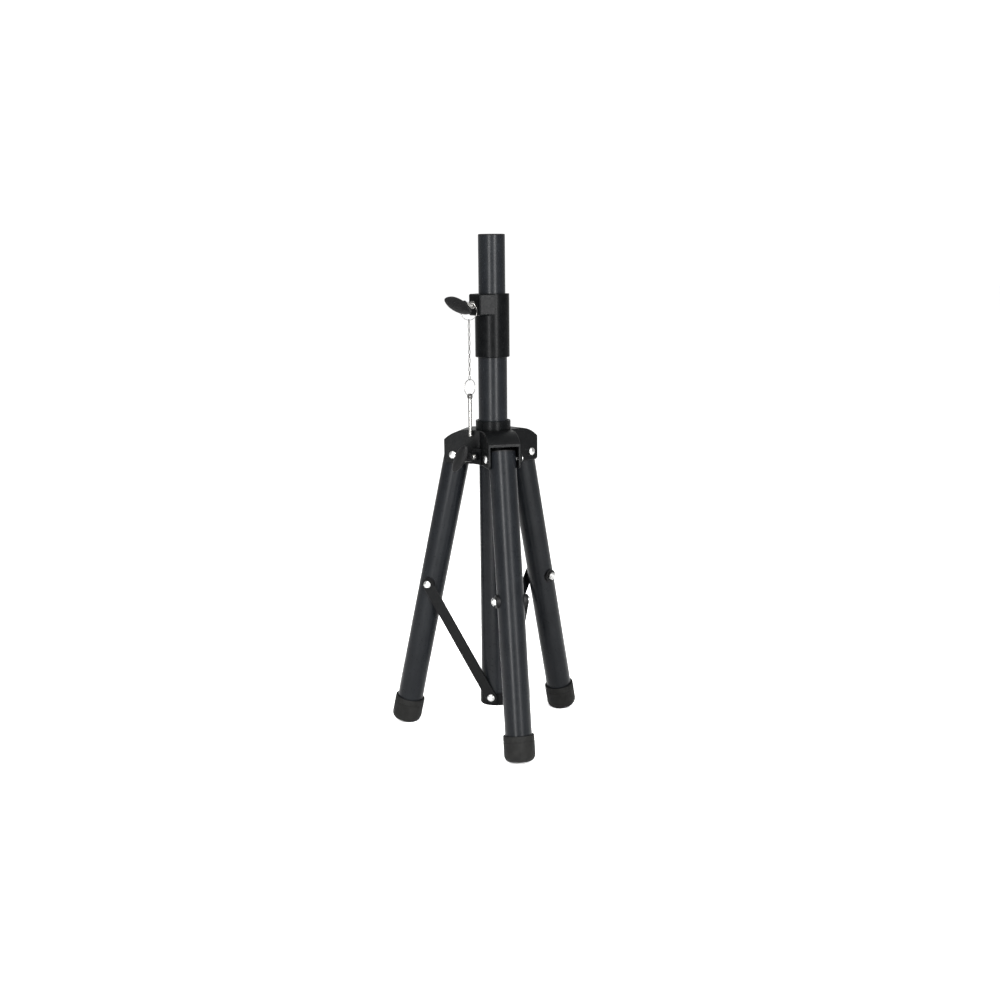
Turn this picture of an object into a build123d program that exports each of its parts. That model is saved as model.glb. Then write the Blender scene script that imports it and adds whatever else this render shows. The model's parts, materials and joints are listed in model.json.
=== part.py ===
"""Short telescoping speaker stand: a mast in a clamp collar, a sliding hub, three legs and three flat braces.

The stand stands on the floor at z = 0 with +Z up. Leg 1 points along -Y. The origin is on the floor, at the
centre of the box round the three feet, and the mast's axis stands a little behind it, at y = MAST_Y.
"""

import math
import os

from build123d import *

os.makedirs("parts", exist_ok=True)

# ---------------------------------------------------------------- driving dimensions, millimetres and degrees
LEGS = (1, 2, 3)
LEG_HEADING = {1: -90.0, 2: 30.0, 3: 150.0}

# leg and brace linkage, at rest
LEG_TILT = 12.2
HUB_PIVOT_R = 49.8
HUB_PIVOT_Z = 382.3
PIVOT_TO_BRACE = 182.9
PIVOT_TO_SOLE = 388.9
BRACE_PIVOT_Z = 51.1

# tubes
MAST_R, MAST_BORE = 19.0, 17.8
POLE_R, POLE_BORE = 17.5, 16.3
LEG_R, LEG_BORE = 17.5, 16.3
LEG_ABOVE_PIVOT = 10.2

# heights on the mast
MAST_BOTTOM, MAST_TOP = 38.6, 560.0
POLE_BOTTOM, POLE_TOP = 84.0, 668.0
COLLAR_BOTTOM, COLLAR_TOP = 510.4, 592.3
HUB_BOTTOM, HUB_TOP = 370.7, 415.5
BUSH_TOP = 427.5

# clamp collar and its screw
COLLAR_R, COLLAR_POLE_BORE = 22.5, 17.58
CLAMP_HEADING, CLAMP_Z = -156.0, 578.4
CLAMP_BOSS_R, CLAMP_BOSS_WIDTH, CLAMP_BOSS_HEIGHT = 29.0, 23.6, 27.8
CLAMP_KNOB_R, CLAMP_KNOB_STEM = 43.5, 7.0
CLAMP_KNOB_SPAN, CLAMP_KNOB_WIDTH, CLAMP_KNOB_TURN = 59.0, 19.0, -14.0
POLE_GROOVE, BOSS_ROUND = 1.6, 2.4

# hub and its screw
HUB_BORE, HUB_BARREL_R, BUSH_BORE, BUSH_R = 22.0, 24.5, 20.6, 23.1
YOKE_INNER, YOKE_PLATE = 18.9, 2.5
YOKE_REACH, YOKE_NOSE_TOP, YOKE_SHOULDER_R = 62.0, 402.5, 33.0
ROOF_THICK, ROOF_ROUND, NOSE_ROUND = 4.0, 1.2, 2.0
HEAD_SIDE = {1: -1, 2: -1, 3: 1}
HUB_SCREW_HEADING, HUB_SCREW_Z = -150.0, 381.9
HUB_BOSS_R, HUB_BOSS_WIDTH, HUB_BOSS_HEIGHT = 31.0, 17.0, 21.0
HUB_KNOB_R, HUB_KNOB_STEM = 42.0, 14.0
HUB_KNOB_SPAN, HUB_KNOB_WIDTH, HUB_KNOB_TURN = 45.0, 19.0, 53.0
HUB_PAD_GAP = 1.2

# braces and bottom cap
BRACE_WIDTH, BRACE_THICK, BRACE_FACE = 15.0, 2.5, 19.9
CAP_R, CAP_FLAT, CAP_TOP, CAP_FLOOR, PLUG_TOP = 20.8, 19.6, 56.0, 2.0, 66.0

# fasteners: 6 mm screws
SCREW_R, SCREW_HOLE, RUNNING_HOLE, OPEN_PIVOT_HOLE = 3.0, 3.05, 3.08, 5.8
HEAD_R, HEAD_HEIGHT, HEAD_GAP = 5.2, 3.2, 0.2
NUT_FLATS, NUT_HEIGHT, JAM_NUT_HEIGHT = 10.0, 4.5, 3.4
SADDLE_R = 8.6
KNOB_THICK, KNOB_STEM_R = 8.0, 6.0
PAD_R = 3.8

# feet
FOOT_R, FOOT_HEIGHT, FOOT_ROUND, FOOT_FLOOR = 20.3, 34.4, 8.0, 6.0

# tether
TETHER_R, WIRE_R = 37.6, 0.65
UPPER_RING_R, LOWER_RING_R = 11.5, 10.4
UPPER_RING_TURN, LOWER_RING_TURN = 30.0, 100.0
CHAIN_R, CHAIN_LENGTH, LINK_GAP = 1.65, 74.5, 0.25
PIN_R, PIN_LENGTH, PIN_EYE_R, PIN_EYE_HOLE, PIN_EYE_THICK = 2.4, 57.0, 3.8, 2.0, 2.6
PIN_GROOVE_Z = 6.6

# pin holes across the pole, all inside the mast at rest
PIN_HOLE_R, PIN_HOLE_PITCH, PIN_HOLE_COUNT, FIRST_PIN_HOLE = 3.0, 50.0, 8, 545.0

# ---------------------------------------------------------------- places worked out from them
TILT = math.radians(LEG_TILT)
BRACE_TOP_R = HUB_PIVOT_R + PIVOT_TO_BRACE * math.sin(TILT)
BRACE_TOP_Z = HUB_PIVOT_Z - PIVOT_TO_BRACE * math.cos(TILT)
BRACE_LENGTH = math.hypot(BRACE_TOP_R, BRACE_TOP_Z - BRACE_PIVOT_Z)
BRACE_LEAN = math.degrees(math.atan2(BRACE_TOP_R, BRACE_TOP_Z - BRACE_PIVOT_Z))
FOOT_CIRCLE_R = HUB_PIVOT_R + PIVOT_TO_SOLE * math.sin(TILT)
MAST_Y = FOOT_CIRCLE_R / 4  # three feet on a circle reach twice as far forward as back
YOKE_OUTER = YOKE_INNER + YOKE_PLATE
BRACE_OUTER = BRACE_FACE + BRACE_THICK

MAST = Location((0, MAST_Y, 0))
YOKE = {i: MAST * Location((0, 0, 0), (0, 0, LEG_HEADING[i])) for i in LEGS}
LEG = {i: YOKE[i] * Location((HUB_PIVOT_R, 0, HUB_PIVOT_Z), (0, -LEG_TILT, 0)) for i in LEGS}
BRACE = {i: YOKE[i] * Location((0, 0, BRACE_PIVOT_Z), (0, BRACE_LEAN, 0)) for i in LEGS}


def at(place, x=0.0, y=0.0, z=0.0):
    """A point in a place's own axes."""
    return place * Location((x, y, z))


def across(place, y, z=0.0):
    """A place on a leg, yoke or brace, turned so that its own z runs along the linkage's pivots."""
    return at(place, 0, y, z) * Location((0, 0, 0), (-90, 0, 0))


def screw_axis(heading, height):
    """A place on the mast's axis whose own z runs level and outwards, along a clamp screw."""
    return MAST * Location((0, 0, height), (0, 0, heading)) * Location((0, 0, 0), (0, 90, 0))


CLAMP_AXIS = screw_axis(CLAMP_HEADING, CLAMP_Z)
HUB_AXIS = screw_axis(HUB_SCREW_HEADING, HUB_SCREW_Z)
SCREW_SEAT = (Align.CENTER, Align.CENTER, Align.MIN)


def save(builder, name):
    """Labels a finished piece and writes it."""
    builder.part.label = name
    export_step(builder.part, f"parts/{name}.step")


def bore(place, radius, depth):
    """Cuts a round hole from a place along its own z."""
    with Locations(place):
        Cylinder(radius, depth, align=SCREW_SEAT, mode=Mode.SUBTRACT)


def shank(place, radius, length):
    """Adds a round bar from a place along its own z."""
    with Locations(place):
        Cylinder(radius, length, align=SCREW_SEAT)


def round_head(place):
    """Adds a low domed screw head that stands along a place's own z."""
    rim = HEAD_HEIGHT * 0.4
    shank(place, HEAD_R, rim)
    with Locations(at(place, z=rim)):
        Cone(HEAD_R, HEAD_R * 0.6, HEAD_HEIGHT - rim, align=SCREW_SEAT)


def hex_nut(place, height):
    """Adds a nut that stands along a place's own z, with the screw's hole through it."""
    with BuildSketch(Plane(place)) as outline:
        RegularPolygon(NUT_FLATS / 2, 6, major_radius=False)
        Circle(SCREW_HOLE, mode=Mode.SUBTRACT)
    extrude(outline.sketch, amount=height)


# ---------------------------------------------------------------- mast and bottom cap
def make_lower_tube():
    with BuildPart() as lower_tube:
        with BuildSketch(Plane(at(MAST, z=MAST_BOTTOM + CAP_FLOOR))):
            Circle(MAST_R)
            Circle(MAST_BORE, mode=Mode.SUBTRACT)
        extrude(amount=MAST_TOP - MAST_BOTTOM - CAP_FLOOR)
        for i in LEGS:
            bore(across(YOKE[i], MAST_BORE - 3, BRACE_PIVOT_Z), SCREW_HOLE, 6)
    save(lower_tube, "lower_tube")


def make_bottom_cap():
    with BuildPart() as bottom_cap:
        shank(at(MAST, z=MAST_BOTTOM), CAP_R, CAP_TOP - MAST_BOTTOM)
        with Locations(*[at(YOKE[i], y=CAP_FLAT + CAP_R / 2, z=MAST_BOTTOM) for i in LEGS]):
            Box(2 * CAP_R, CAP_R, CAP_TOP, mode=Mode.SUBTRACT)
        fillet(bottom_cap.faces().sort_by(Axis.Z)[0].edges(), 1.5)
        bore(at(MAST, z=MAST_BOTTOM + CAP_FLOOR), MAST_R + 0.02, CAP_TOP)
        for i in LEGS:
            bore(across(YOKE[i], MAST_R - 3, BRACE_PIVOT_Z), SCREW_HOLE, 6)
    save(bottom_cap, "bottom_cap")


def make_bottom_plug():
    with BuildPart() as bottom_plug:
        with BuildSketch(Plane(at(MAST, z=MAST_BOTTOM + CAP_FLOOR))):
            Circle(MAST_BORE - 0.02)
        extrude(amount=PLUG_TOP - MAST_BOTTOM - CAP_FLOOR)
        for i in LEGS:
            bore(across(YOKE[i], MAST_BORE - 10, BRACE_PIVOT_Z), SCREW_HOLE, 20)
    save(bottom_plug, "bottom_plug")


def make_bracket_bolts():
    with BuildPart() as bracket_bolts:
        for i in LEGS:
            start, head = MAST_BORE - 9, BRACE_OUTER + HEAD_GAP
            shank(across(YOKE[i], start, BRACE_PIVOT_Z), SCREW_R, head - start)
            round_head(across(YOKE[i], head, BRACE_PIVOT_Z))
    save(bracket_bolts, "bracket_bolts")


# ---------------------------------------------------------------- telescoping pole
def make_upper_tube():
    with BuildPart() as upper_tube:
        with BuildSketch(Plane(at(MAST, z=POLE_BOTTOM))):
            Circle(POLE_R)
            Circle(POLE_BORE, mode=Mode.SUBTRACT)
        extrude(amount=POLE_TOP - 2 - POLE_BOTTOM)
        with BuildSketch(Plane(at(MAST, z=COLLAR_TOP - POLE_GROOVE))):
            Circle(POLE_R + 1)
            Circle(POLE_R - 0.3, mode=Mode.SUBTRACT)
        extrude(amount=POLE_GROOVE, mode=Mode.SUBTRACT)
        for k in range(PIN_HOLE_COUNT):
            hole = at(CLAMP_AXIS, x=CLAMP_Z - FIRST_PIN_HOLE + k * PIN_HOLE_PITCH)
            with Locations(hole * Location((0, 0, 0), (90, 0, 0))):
                Cylinder(PIN_HOLE_R, 2 * MAST_R, mode=Mode.SUBTRACT)
    save(upper_tube, "upper_tube")


def make_upper_plug():
    with BuildPart() as upper_plug:
        with BuildSketch(Plane(at(MAST, z=POLE_TOP - 2))):
            Circle(POLE_R - 0.1)
        extrude(amount=2)
        fillet(upper_plug.faces().sort_by(Axis.Z)[-1].edges(), 1.2)
        with BuildSketch(Plane(at(MAST, z=POLE_TOP - 14))):
            Circle(POLE_BORE - 0.05)
        extrude(amount=12)
        with BuildSketch(Plane(at(MAST, z=POLE_TOP - 14))):
            Circle(POLE_BORE - 2)
        extrude(amount=11, mode=Mode.SUBTRACT)
    save(upper_plug, "upper_plug")


def make_guide_bush():
    with BuildPart() as guide_bush:
        with BuildSketch(Plane(at(MAST, z=POLE_BOTTOM - 4))):
            Circle(MAST_BORE - 0.06)
            Circle(POLE_BORE - 2, mode=Mode.SUBTRACT)
        extrude(amount=4)
        with BuildSketch(Plane(at(MAST, z=POLE_BOTTOM))):
            Circle(POLE_BORE - 0.05)
            Circle(POLE_BORE - 2, mode=Mode.SUBTRACT)
        extrude(amount=18)
    save(guide_bush, "guide_bush")


# ---------------------------------------------------------------- clamp collar and screws
def make_clamp_collar():
    boss_bottom = CLAMP_Z - CLAMP_BOSS_HEIGHT / 2
    boss_plane = Plane(MAST * Location((0, 0, boss_bottom), (0, 0, CLAMP_HEADING)))
    with BuildPart() as clamp_collar:
        with BuildSketch(boss_plane):
            with BuildLine():
                CenterArc((0, 0), COLLAR_R - 0.05, 0, 360)
                Line(
                    (CLAMP_BOSS_R, -CLAMP_BOSS_WIDTH / 2), (CLAMP_BOSS_R, CLAMP_BOSS_WIDTH / 2)
                )
            make_hull()
        extrude(amount=CLAMP_BOSS_HEIGHT)
        nose = clamp_collar.edges().filter_by(Axis.Z).sort_by_distance(at(CLAMP_AXIS, z=99).position)[:2]
        fillet(nose, 3)
        fillet(clamp_collar.faces().sort_by(Axis.Z)[0].edges(), BOSS_ROUND)
        fillet(clamp_collar.faces().sort_by(Axis.Z)[-1].edges(), BOSS_ROUND)
        with BuildSketch(Plane(at(MAST, z=COLLAR_BOTTOM))):
            Circle(COLLAR_R)
        extrude(amount=COLLAR_TOP - COLLAR_BOTTOM)
        rims = clamp_collar.faces().filter_by(Plane.XY)
        fillet(rims.sort_by(Axis.Z)[0].edges(), 1.2)
        chamfer(rims.sort_by(Axis.Z)[-1].edges(), 0.6)
        bore(at(MAST, z=COLLAR_BOTTOM - 1), MAST_R + 0.02, MAST_TOP - COLLAR_BOTTOM + 1.2)
        bore(at(MAST, z=MAST_TOP), COLLAR_POLE_BORE, COLLAR_TOP)
        with BuildSketch(Plane(at(MAST, z=COLLAR_TOP - POLE_GROOVE))):
            Circle(COLLAR_POLE_BORE)
        extrude(amount=POLE_GROOVE + 1, taper=-30, mode=Mode.SUBTRACT)
        bore(at(CLAMP_AXIS, z=POLE_R - 2), PAD_R + 0.05, CLAMP_BOSS_R - POLE_R - 4)
        bore(at(CLAMP_AXIS, z=POLE_R), SCREW_HOLE, CLAMP_BOSS_R)
    save(clamp_collar, "clamp_collar")


def make_nut(name, axis, seat):
    with BuildPart() as nut:
        hex_nut(at(axis, z=seat), JAM_NUT_HEIGHT)
    save(nut, name)


def make_pad(name, axis, start, end):
    with BuildPart() as pad:
        shank(at(axis, z=start), PAD_R, end - start)
    save(pad, name)


def make_screw(name, axis, start, end):
    with BuildPart() as screw:
        shank(at(axis, z=start), SCREW_R, end - start)
        chamfer(screw.edges().filter_by(GeomType.CIRCLE), 0.5)
    save(screw, name)


def make_knob(name, axis, seat, stem, span, width, turn):
    """A wing knob: a leaf-shaped wing on a round stem, moulded round the screw's end."""
    wing_plane = Plane(at(axis, z=seat + stem) * Location((0, 0, 0), (0, 0, turn)))
    with BuildPart() as knob:
        with BuildSketch(wing_plane):
            with BuildLine():
                ThreePointArc((0, -span / 2), (width / 2, 0), (0, span / 2))
                ThreePointArc((0, span / 2), (-width / 2, 0), (0, -span / 2))
            make_face()
            fillet(vertices(), 2.5)
        extrude(amount=KNOB_THICK)
        fillet(knob.faces().sort_by_distance(at(axis, z=200).position)[0].edges(), 2.5)
        shank(at(axis, z=seat), KNOB_STEM_R, stem + 1)
        bore(at(axis, z=seat), SCREW_HOLE, stem + 3)
    save(knob, name)


# ---------------------------------------------------------------- tether: ring, chain, ring and pin
UPPER_RING_Z = CLAMP_Z + SCREW_R + HEAD_GAP + WIRE_R - UPPER_RING_R
CHAIN_TOP = UPPER_RING_Z - UPPER_RING_R - WIRE_R - LINK_GAP
LOWER_RING_Z = CHAIN_TOP - CHAIN_LENGTH - LINK_GAP - WIRE_R - LOWER_RING_R
PIN_EYE_Z = LOWER_RING_Z - LOWER_RING_R + WIRE_R + HEAD_GAP - PIN_EYE_HOLE


def on_tether(height, turn=0.0):
    """A place on the line that the chain hangs in, with its own x turned away from the clamp screw."""
    place = MAST * Location((0, 0, height), (0, 0, CLAMP_HEADING)) * Location((TETHER_R, 0, 0))
    return place * Location((0, 0, 0), (0, 0, turn))


def make_ring(name, height, radius, turn):
    with BuildPart() as ring:
        with Locations(on_tether(height, turn) * Location((0, 0, 0), (0, 90, 0))):
            Torus(radius, WIRE_R)
    save(ring, name)


def make_chain():
    with BuildPart() as chain:
        shank(on_tether(CHAIN_TOP - CHAIN_LENGTH), CHAIN_R, CHAIN_LENGTH)
    save(chain, "chain")


def make_safety_pin():
    eye = on_tether(PIN_EYE_Z, LOWER_RING_TURN)
    pin_top = PIN_EYE_Z - PIN_EYE_R + 1
    tip = PIN_EYE_Z + PIN_EYE_R - PIN_LENGTH
    with BuildPart() as safety_pin:
        with Locations(eye * Location((0, 0, 0), (90, 0, 0))):
            Cylinder(PIN_EYE_R, PIN_EYE_THICK)
        with BuildSketch(Plane(at(eye, z=tip - PIN_EYE_Z))):
            Circle(PIN_R)
        extrude(amount=pin_top - tip)
        fillet(safety_pin.faces().sort_by(Axis.Z)[0].edges(), PIN_R - 0.4)
        with BuildSketch(Plane(at(eye, z=tip - PIN_EYE_Z + PIN_GROOVE_Z))):
            Circle(PIN_R + 1)
            Circle(PIN_R - 0.3, mode=Mode.SUBTRACT)
        extrude(amount=1, mode=Mode.SUBTRACT)
        with Locations(eye * Location((0, 0, 0), (90, 0, 0))):
            Cylinder(PIN_EYE_HOLE, 4 * PIN_R, mode=Mode.SUBTRACT)
    save(safety_pin, "safety_pin")


# ---------------------------------------------------------------- hub
def yoke_outline(place, inner_r, reach, bottom, drop):
    """The side outline of a yoke in the plane of its leg, with its top edge lowered by drop."""
    nose, shoulder = (reach, YOKE_NOSE_TOP - drop), (YOKE_SHOULDER_R, HUB_TOP - drop)
    with BuildSketch(Plane(place * Location((0, 0, 0), (90, 0, 0)))) as outline:
        with BuildLine():
            Polyline(shoulder, (inner_r, HUB_TOP - drop), (inner_r, bottom), (reach, bottom), nose)
            RadiusArc(nose, shoulder, -48)
        make_face()
    return outline.sketch


def nearest_edge(builder, place):
    """The edge of a piece under way that lies nearest to a place."""
    return builder.edges().sort_by_distance(place.position)[0]


def yoke_block(place):
    """The solid outer form of one yoke, with its nose, heel and side edges rounded."""
    with BuildPart() as block:
        extrude(yoke_outline(place, 0, YOKE_REACH, HUB_BOTTOM, 0), amount=YOKE_OUTER, both=True)
        fillet(nearest_edge(block, at(place, x=YOKE_REACH, z=HUB_BOTTOM)), 4)
        fillet(nearest_edge(block, at(place, x=YOKE_REACH, z=YOKE_NOSE_TOP)), NOSE_ROUND)
        for y in (-YOKE_OUTER, YOKE_OUTER):
            fillet(nearest_edge(block, at(place, YOKE_REACH, y, HUB_PIVOT_Z)), ROOF_ROUND)
    return block.part


def make_hub_body():
    with BuildPart() as hub_body:
        for i in LEGS:
            add(yoke_block(YOKE[i]))
        with Locations(at(HUB_AXIS)):
            Box(HUB_BOSS_HEIGHT, HUB_BOSS_WIDTH, HUB_BOSS_R, align=SCREW_SEAT)
        for i in LEGS:
            room = yoke_outline(YOKE[i], 0, YOKE_REACH + 1, HUB_BOTTOM - 1, ROOF_THICK)
            extrude(room, amount=YOKE_INNER, both=True, mode=Mode.SUBTRACT)
            bore(across(at(YOKE[i], x=HUB_PIVOT_R), -30, HUB_PIVOT_Z), SCREW_HOLE, 60)
        shank(at(MAST, z=HUB_BOTTOM), HUB_BARREL_R, HUB_TOP - HUB_BOTTOM)
        with Locations(at(HUB_AXIS, z=HUB_BORE)):
            Box(HUB_BOSS_HEIGHT, HUB_BOSS_WIDTH, HUB_BOSS_R - HUB_BORE, align=SCREW_SEAT)
        bore(at(MAST, z=HUB_BOTTOM - 2), HUB_BORE, HUB_TOP)
        bore(at(HUB_AXIS, z=HUB_BORE - 2), PAD_R + 0.05, HUB_BOSS_R - HUB_BORE - 1)
        bore(at(HUB_AXIS, z=HUB_BORE), SCREW_HOLE, HUB_BOSS_R)
    save(hub_body, "hub_body")


def make_hub_bush():
    with BuildPart() as hub_bush:
        with BuildSketch(Plane(at(MAST, z=HUB_TOP))):
            Circle(BUSH_R)
        extrude(amount=BUSH_TOP - HUB_TOP)
        fillet(hub_bush.faces().sort_by(Axis.Z)[-1].edges(), 0.8)
        with BuildSketch(Plane(at(MAST, z=HUB_BOTTOM + 2))):
            Circle(HUB_BORE - 0.02)
        extrude(amount=HUB_TOP - HUB_BOTTOM - 2)
        bore(at(MAST, z=HUB_BOTTOM), BUSH_BORE, BUSH_TOP)
        bore(at(HUB_AXIS, z=BUSH_BORE - 3), PAD_R + 0.05, 6)
    save(hub_bush, "hub_bush")


def make_pivot_bolts():
    with BuildPart() as pivot_bolts:
        for i in LEGS:
            pivot = at(YOKE[i], x=HUB_PIVOT_R)
            screw = across(pivot, 0, HUB_PIVOT_Z) * Location((0, 0, 0), (90 - 90 * HEAD_SIDE[i], 0, 0))
            start = -YOKE_OUTER - NUT_HEIGHT - 1
            shank(at(screw, z=start), SCREW_R, YOKE_OUTER - start)
            round_head(at(screw, z=YOKE_OUTER))
    save(pivot_bolts, "pivot_bolts")


def make_pivot_nuts():
    with BuildPart() as pivot_nuts:
        for i in LEGS:
            pivot = across(at(YOKE[i], x=HUB_PIVOT_R), 0, HUB_PIVOT_Z)
            behind = Location((0, 0, 0), (90 + 90 * HEAD_SIDE[i], 0, 0))
            hex_nut(at(pivot * behind, z=YOKE_OUTER), NUT_HEIGHT)
    save(pivot_nuts, "pivot_nuts")


# ---------------------------------------------------------------- legs and braces
def make_leg_tube(i):
    with BuildPart() as leg_tube:
        with BuildSketch(Plane(at(LEG[i], z=FOOT_FLOOR - PIVOT_TO_SOLE))):
            Circle(LEG_R)
            Circle(LEG_BORE, mode=Mode.SUBTRACT)
        extrude(amount=PIVOT_TO_SOLE - FOOT_FLOOR + LEG_ABOVE_PIVOT - 1.5)
        bore(across(LEG[i], -30), RUNNING_HOLE if i == 1 else OPEN_PIVOT_HOLE, 60)
        bore(across(LEG[i], -30, -PIVOT_TO_BRACE), SCREW_HOLE, 60)
    save(leg_tube, f"leg_{i}_tube")


def make_leg_plug(i):
    with BuildPart() as leg_plug:
        with BuildSketch(Plane(at(LEG[i], z=LEG_ABOVE_PIVOT - 1.5))):
            Circle(LEG_R - 0.1)
        extrude(amount=1.5)
        with BuildSketch(Plane(at(LEG[i], z=LEG_ABOVE_PIVOT - 1.5))):
            Circle(LEG_BORE - 0.05)
        extrude(amount=-4)
    save(leg_plug, f"leg_{i}_plug")


def make_foot(i):
    """A rubber cup with a rounded sole, cut flat where it stands on the floor."""
    with BuildPart() as foot:
        with BuildSketch(Plane(at(LEG[i], z=-PIVOT_TO_SOLE))):
            Circle(FOOT_R)
        extrude(amount=FOOT_HEIGHT)
        ends = foot.faces().filter_by(GeomType.PLANE).sort_by(Axis.Z)
        fillet(ends[0].edges(), FOOT_ROUND)
        fillet(ends[-1].edges(), 1.0)
        bore(at(LEG[i], z=FOOT_FLOOR - PIVOT_TO_SOLE), LEG_R + 0.02, FOOT_HEIGHT)
        split(bisect_by=Plane.XY, keep=Keep.TOP)
    save(foot, f"leg_{i}_foot")


def make_brace_bolt(i):
    with BuildPart() as brace_bolt:
        start, head = -BRACE_FACE - NUT_HEIGHT - 1, BRACE_OUTER + HEAD_GAP
        shank(across(LEG[i], start, -PIVOT_TO_BRACE), SCREW_R, head - start)
        round_head(across(LEG[i], head, -PIVOT_TO_BRACE))
    save(brace_bolt, f"leg_{i}_brace_bolt")


def make_brace_nut(i):
    with BuildPart() as brace_nut:
        hex_nut(across(LEG[i], -BRACE_FACE - NUT_HEIGHT, -PIVOT_TO_BRACE), NUT_HEIGHT)
    save(brace_nut, f"leg_{i}_brace_nut")


def make_saddle(i, start, end, name):
    """A round washer whose inner face follows the leg's tube."""
    with BuildPart() as saddle:
        shank(across(LEG[i], start, -PIVOT_TO_BRACE), SADDLE_R, end - start)
        with BuildSketch(Plane(at(LEG[i], z=-PIVOT_TO_BRACE - 2 * SADDLE_R))):
            Circle(LEG_R + 0.02)
        extrude(amount=4 * SADDLE_R, mode=Mode.SUBTRACT)
        bore(across(LEG[i], -40, -PIVOT_TO_BRACE), SCREW_HOLE, 80)
    save(saddle, f"leg_{i}_{name}")


def make_brace(i):
    with BuildPart() as brace:
        with BuildSketch(Plane(at(BRACE[i], y=BRACE_FACE) * Location((0, 0, 0), (-90, 0, 0)))):
            with Locations((0, -BRACE_LENGTH / 2)):
                SlotCenterToCenter(BRACE_LENGTH, BRACE_WIDTH, rotation=90)
            with Locations((0, 0), (0, -BRACE_LENGTH)):
                Circle(RUNNING_HOLE, mode=Mode.SUBTRACT)
        extrude(amount=BRACE_THICK)
        faces = brace.faces().filter_by(GeomType.PLANE).sort_by(SortBy.AREA)[-2:]
        chamfer(faces.edges().filter_by(GeomType.LINE), 0.4)
    save(brace, f"brace_{i}")


def main():
    make_lower_tube()
    make_bottom_cap()
    make_bottom_plug()
    make_bracket_bolts()
    make_upper_tube()
    make_upper_plug()
    make_guide_bush()
    make_clamp_collar()
    make_nut("clamp_nut", CLAMP_AXIS, CLAMP_BOSS_R)
    make_pad("clamp_pad", CLAMP_AXIS, POLE_R + 0.1, POLE_R + 3)
    make_screw("clamp_screw", CLAMP_AXIS, POLE_R + 3.1, CLAMP_KNOB_R + CLAMP_KNOB_STEM + 2)
    make_knob(
        "clamp_knob",
        CLAMP_AXIS,
        CLAMP_KNOB_R,
        CLAMP_KNOB_STEM,
        CLAMP_KNOB_SPAN,
        CLAMP_KNOB_WIDTH,
        CLAMP_KNOB_TURN,
    )
    make_ring("upper_ring", UPPER_RING_Z, UPPER_RING_R, UPPER_RING_TURN)
    make_chain()
    make_ring("lower_ring", LOWER_RING_Z, LOWER_RING_R, LOWER_RING_TURN)
    make_safety_pin()
    make_hub_body()
    make_hub_bush()
    make_nut("hub_nut", HUB_AXIS, HUB_BOSS_R)
    make_pad("hub_pad", HUB_AXIS, MAST_R + HUB_PAD_GAP, HUB_BORE + 2)
    make_screw("hub_screw", HUB_AXIS, HUB_BORE + 2.1, HUB_KNOB_R + HUB_KNOB_STEM + 2)
    make_knob(
        "hub_knob",
        HUB_AXIS,
        HUB_KNOB_R,
        HUB_KNOB_STEM,
        HUB_KNOB_SPAN,
        HUB_KNOB_WIDTH,
        HUB_KNOB_TURN,
    )
    make_pivot_bolts()
    make_pivot_nuts()
    for i in LEGS:
        make_leg_tube(i)
        make_leg_plug(i)
        make_foot(i)
        make_brace_bolt(i)
        make_brace_nut(i)
        make_saddle(i, LEG_R - 4, BRACE_FACE - 0.3, "brace_saddle")
        make_saddle(i, -BRACE_FACE, 4 - LEG_R, "nut_saddle")
        make_brace(i)


main()
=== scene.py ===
"""Visual model of a short black telescoping speaker stand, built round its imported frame."""

import json
import logging
import math
from contextlib import contextmanager
from dataclasses import dataclass, field
from enum import Enum
from typing import Callable, Iterator, Sequence

import bpy
from mathutils import Matrix, Vector


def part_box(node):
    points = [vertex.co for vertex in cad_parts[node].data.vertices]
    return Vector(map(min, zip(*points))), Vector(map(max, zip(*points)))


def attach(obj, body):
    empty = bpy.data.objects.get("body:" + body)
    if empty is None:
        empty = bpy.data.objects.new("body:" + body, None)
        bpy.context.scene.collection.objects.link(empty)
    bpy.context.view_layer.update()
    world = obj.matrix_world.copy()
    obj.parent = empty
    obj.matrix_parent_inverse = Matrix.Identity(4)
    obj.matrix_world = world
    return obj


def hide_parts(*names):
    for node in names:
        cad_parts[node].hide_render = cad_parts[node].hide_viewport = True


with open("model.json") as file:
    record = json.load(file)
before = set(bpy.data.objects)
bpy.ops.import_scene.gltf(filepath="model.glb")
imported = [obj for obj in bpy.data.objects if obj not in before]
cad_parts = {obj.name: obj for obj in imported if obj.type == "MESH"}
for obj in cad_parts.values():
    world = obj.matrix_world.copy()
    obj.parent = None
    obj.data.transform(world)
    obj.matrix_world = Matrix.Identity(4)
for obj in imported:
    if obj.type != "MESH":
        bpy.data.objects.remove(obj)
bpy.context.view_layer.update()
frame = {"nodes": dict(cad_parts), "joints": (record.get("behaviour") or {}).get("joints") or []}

LOG = logging.getLogger("stand")
MM = 0.001
SMOOTH_ANGLE = math.radians(32)
LEGS = (1, 2, 3)
JOINTS = {joint["name"]: joint for joint in frame["joints"]}


# ---------------------------------------------------------------- the bench: operators as used by hand
def clear_selection() -> None:
    """Leaves edit mode and deselects everything."""
    if bpy.context.object and bpy.context.object.mode != "OBJECT":
        bpy.ops.object.mode_set(mode="OBJECT")
    bpy.ops.object.select_all(action="DESELECT")


def pick(piece: bpy.types.Object) -> None:
    """Selects one piece alone and makes it active."""
    clear_selection()
    piece.select_set(True)
    bpy.context.view_layer.objects.active = piece


@contextmanager
def editing(piece: bpy.types.Object) -> Iterator[None]:
    """Edit mode on one piece.

    Args:
        piece: the mesh to edit.
    """
    pick(piece)
    bpy.ops.object.mode_set(mode="EDIT")
    yield
    bpy.ops.object.mode_set(mode="OBJECT")


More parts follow.
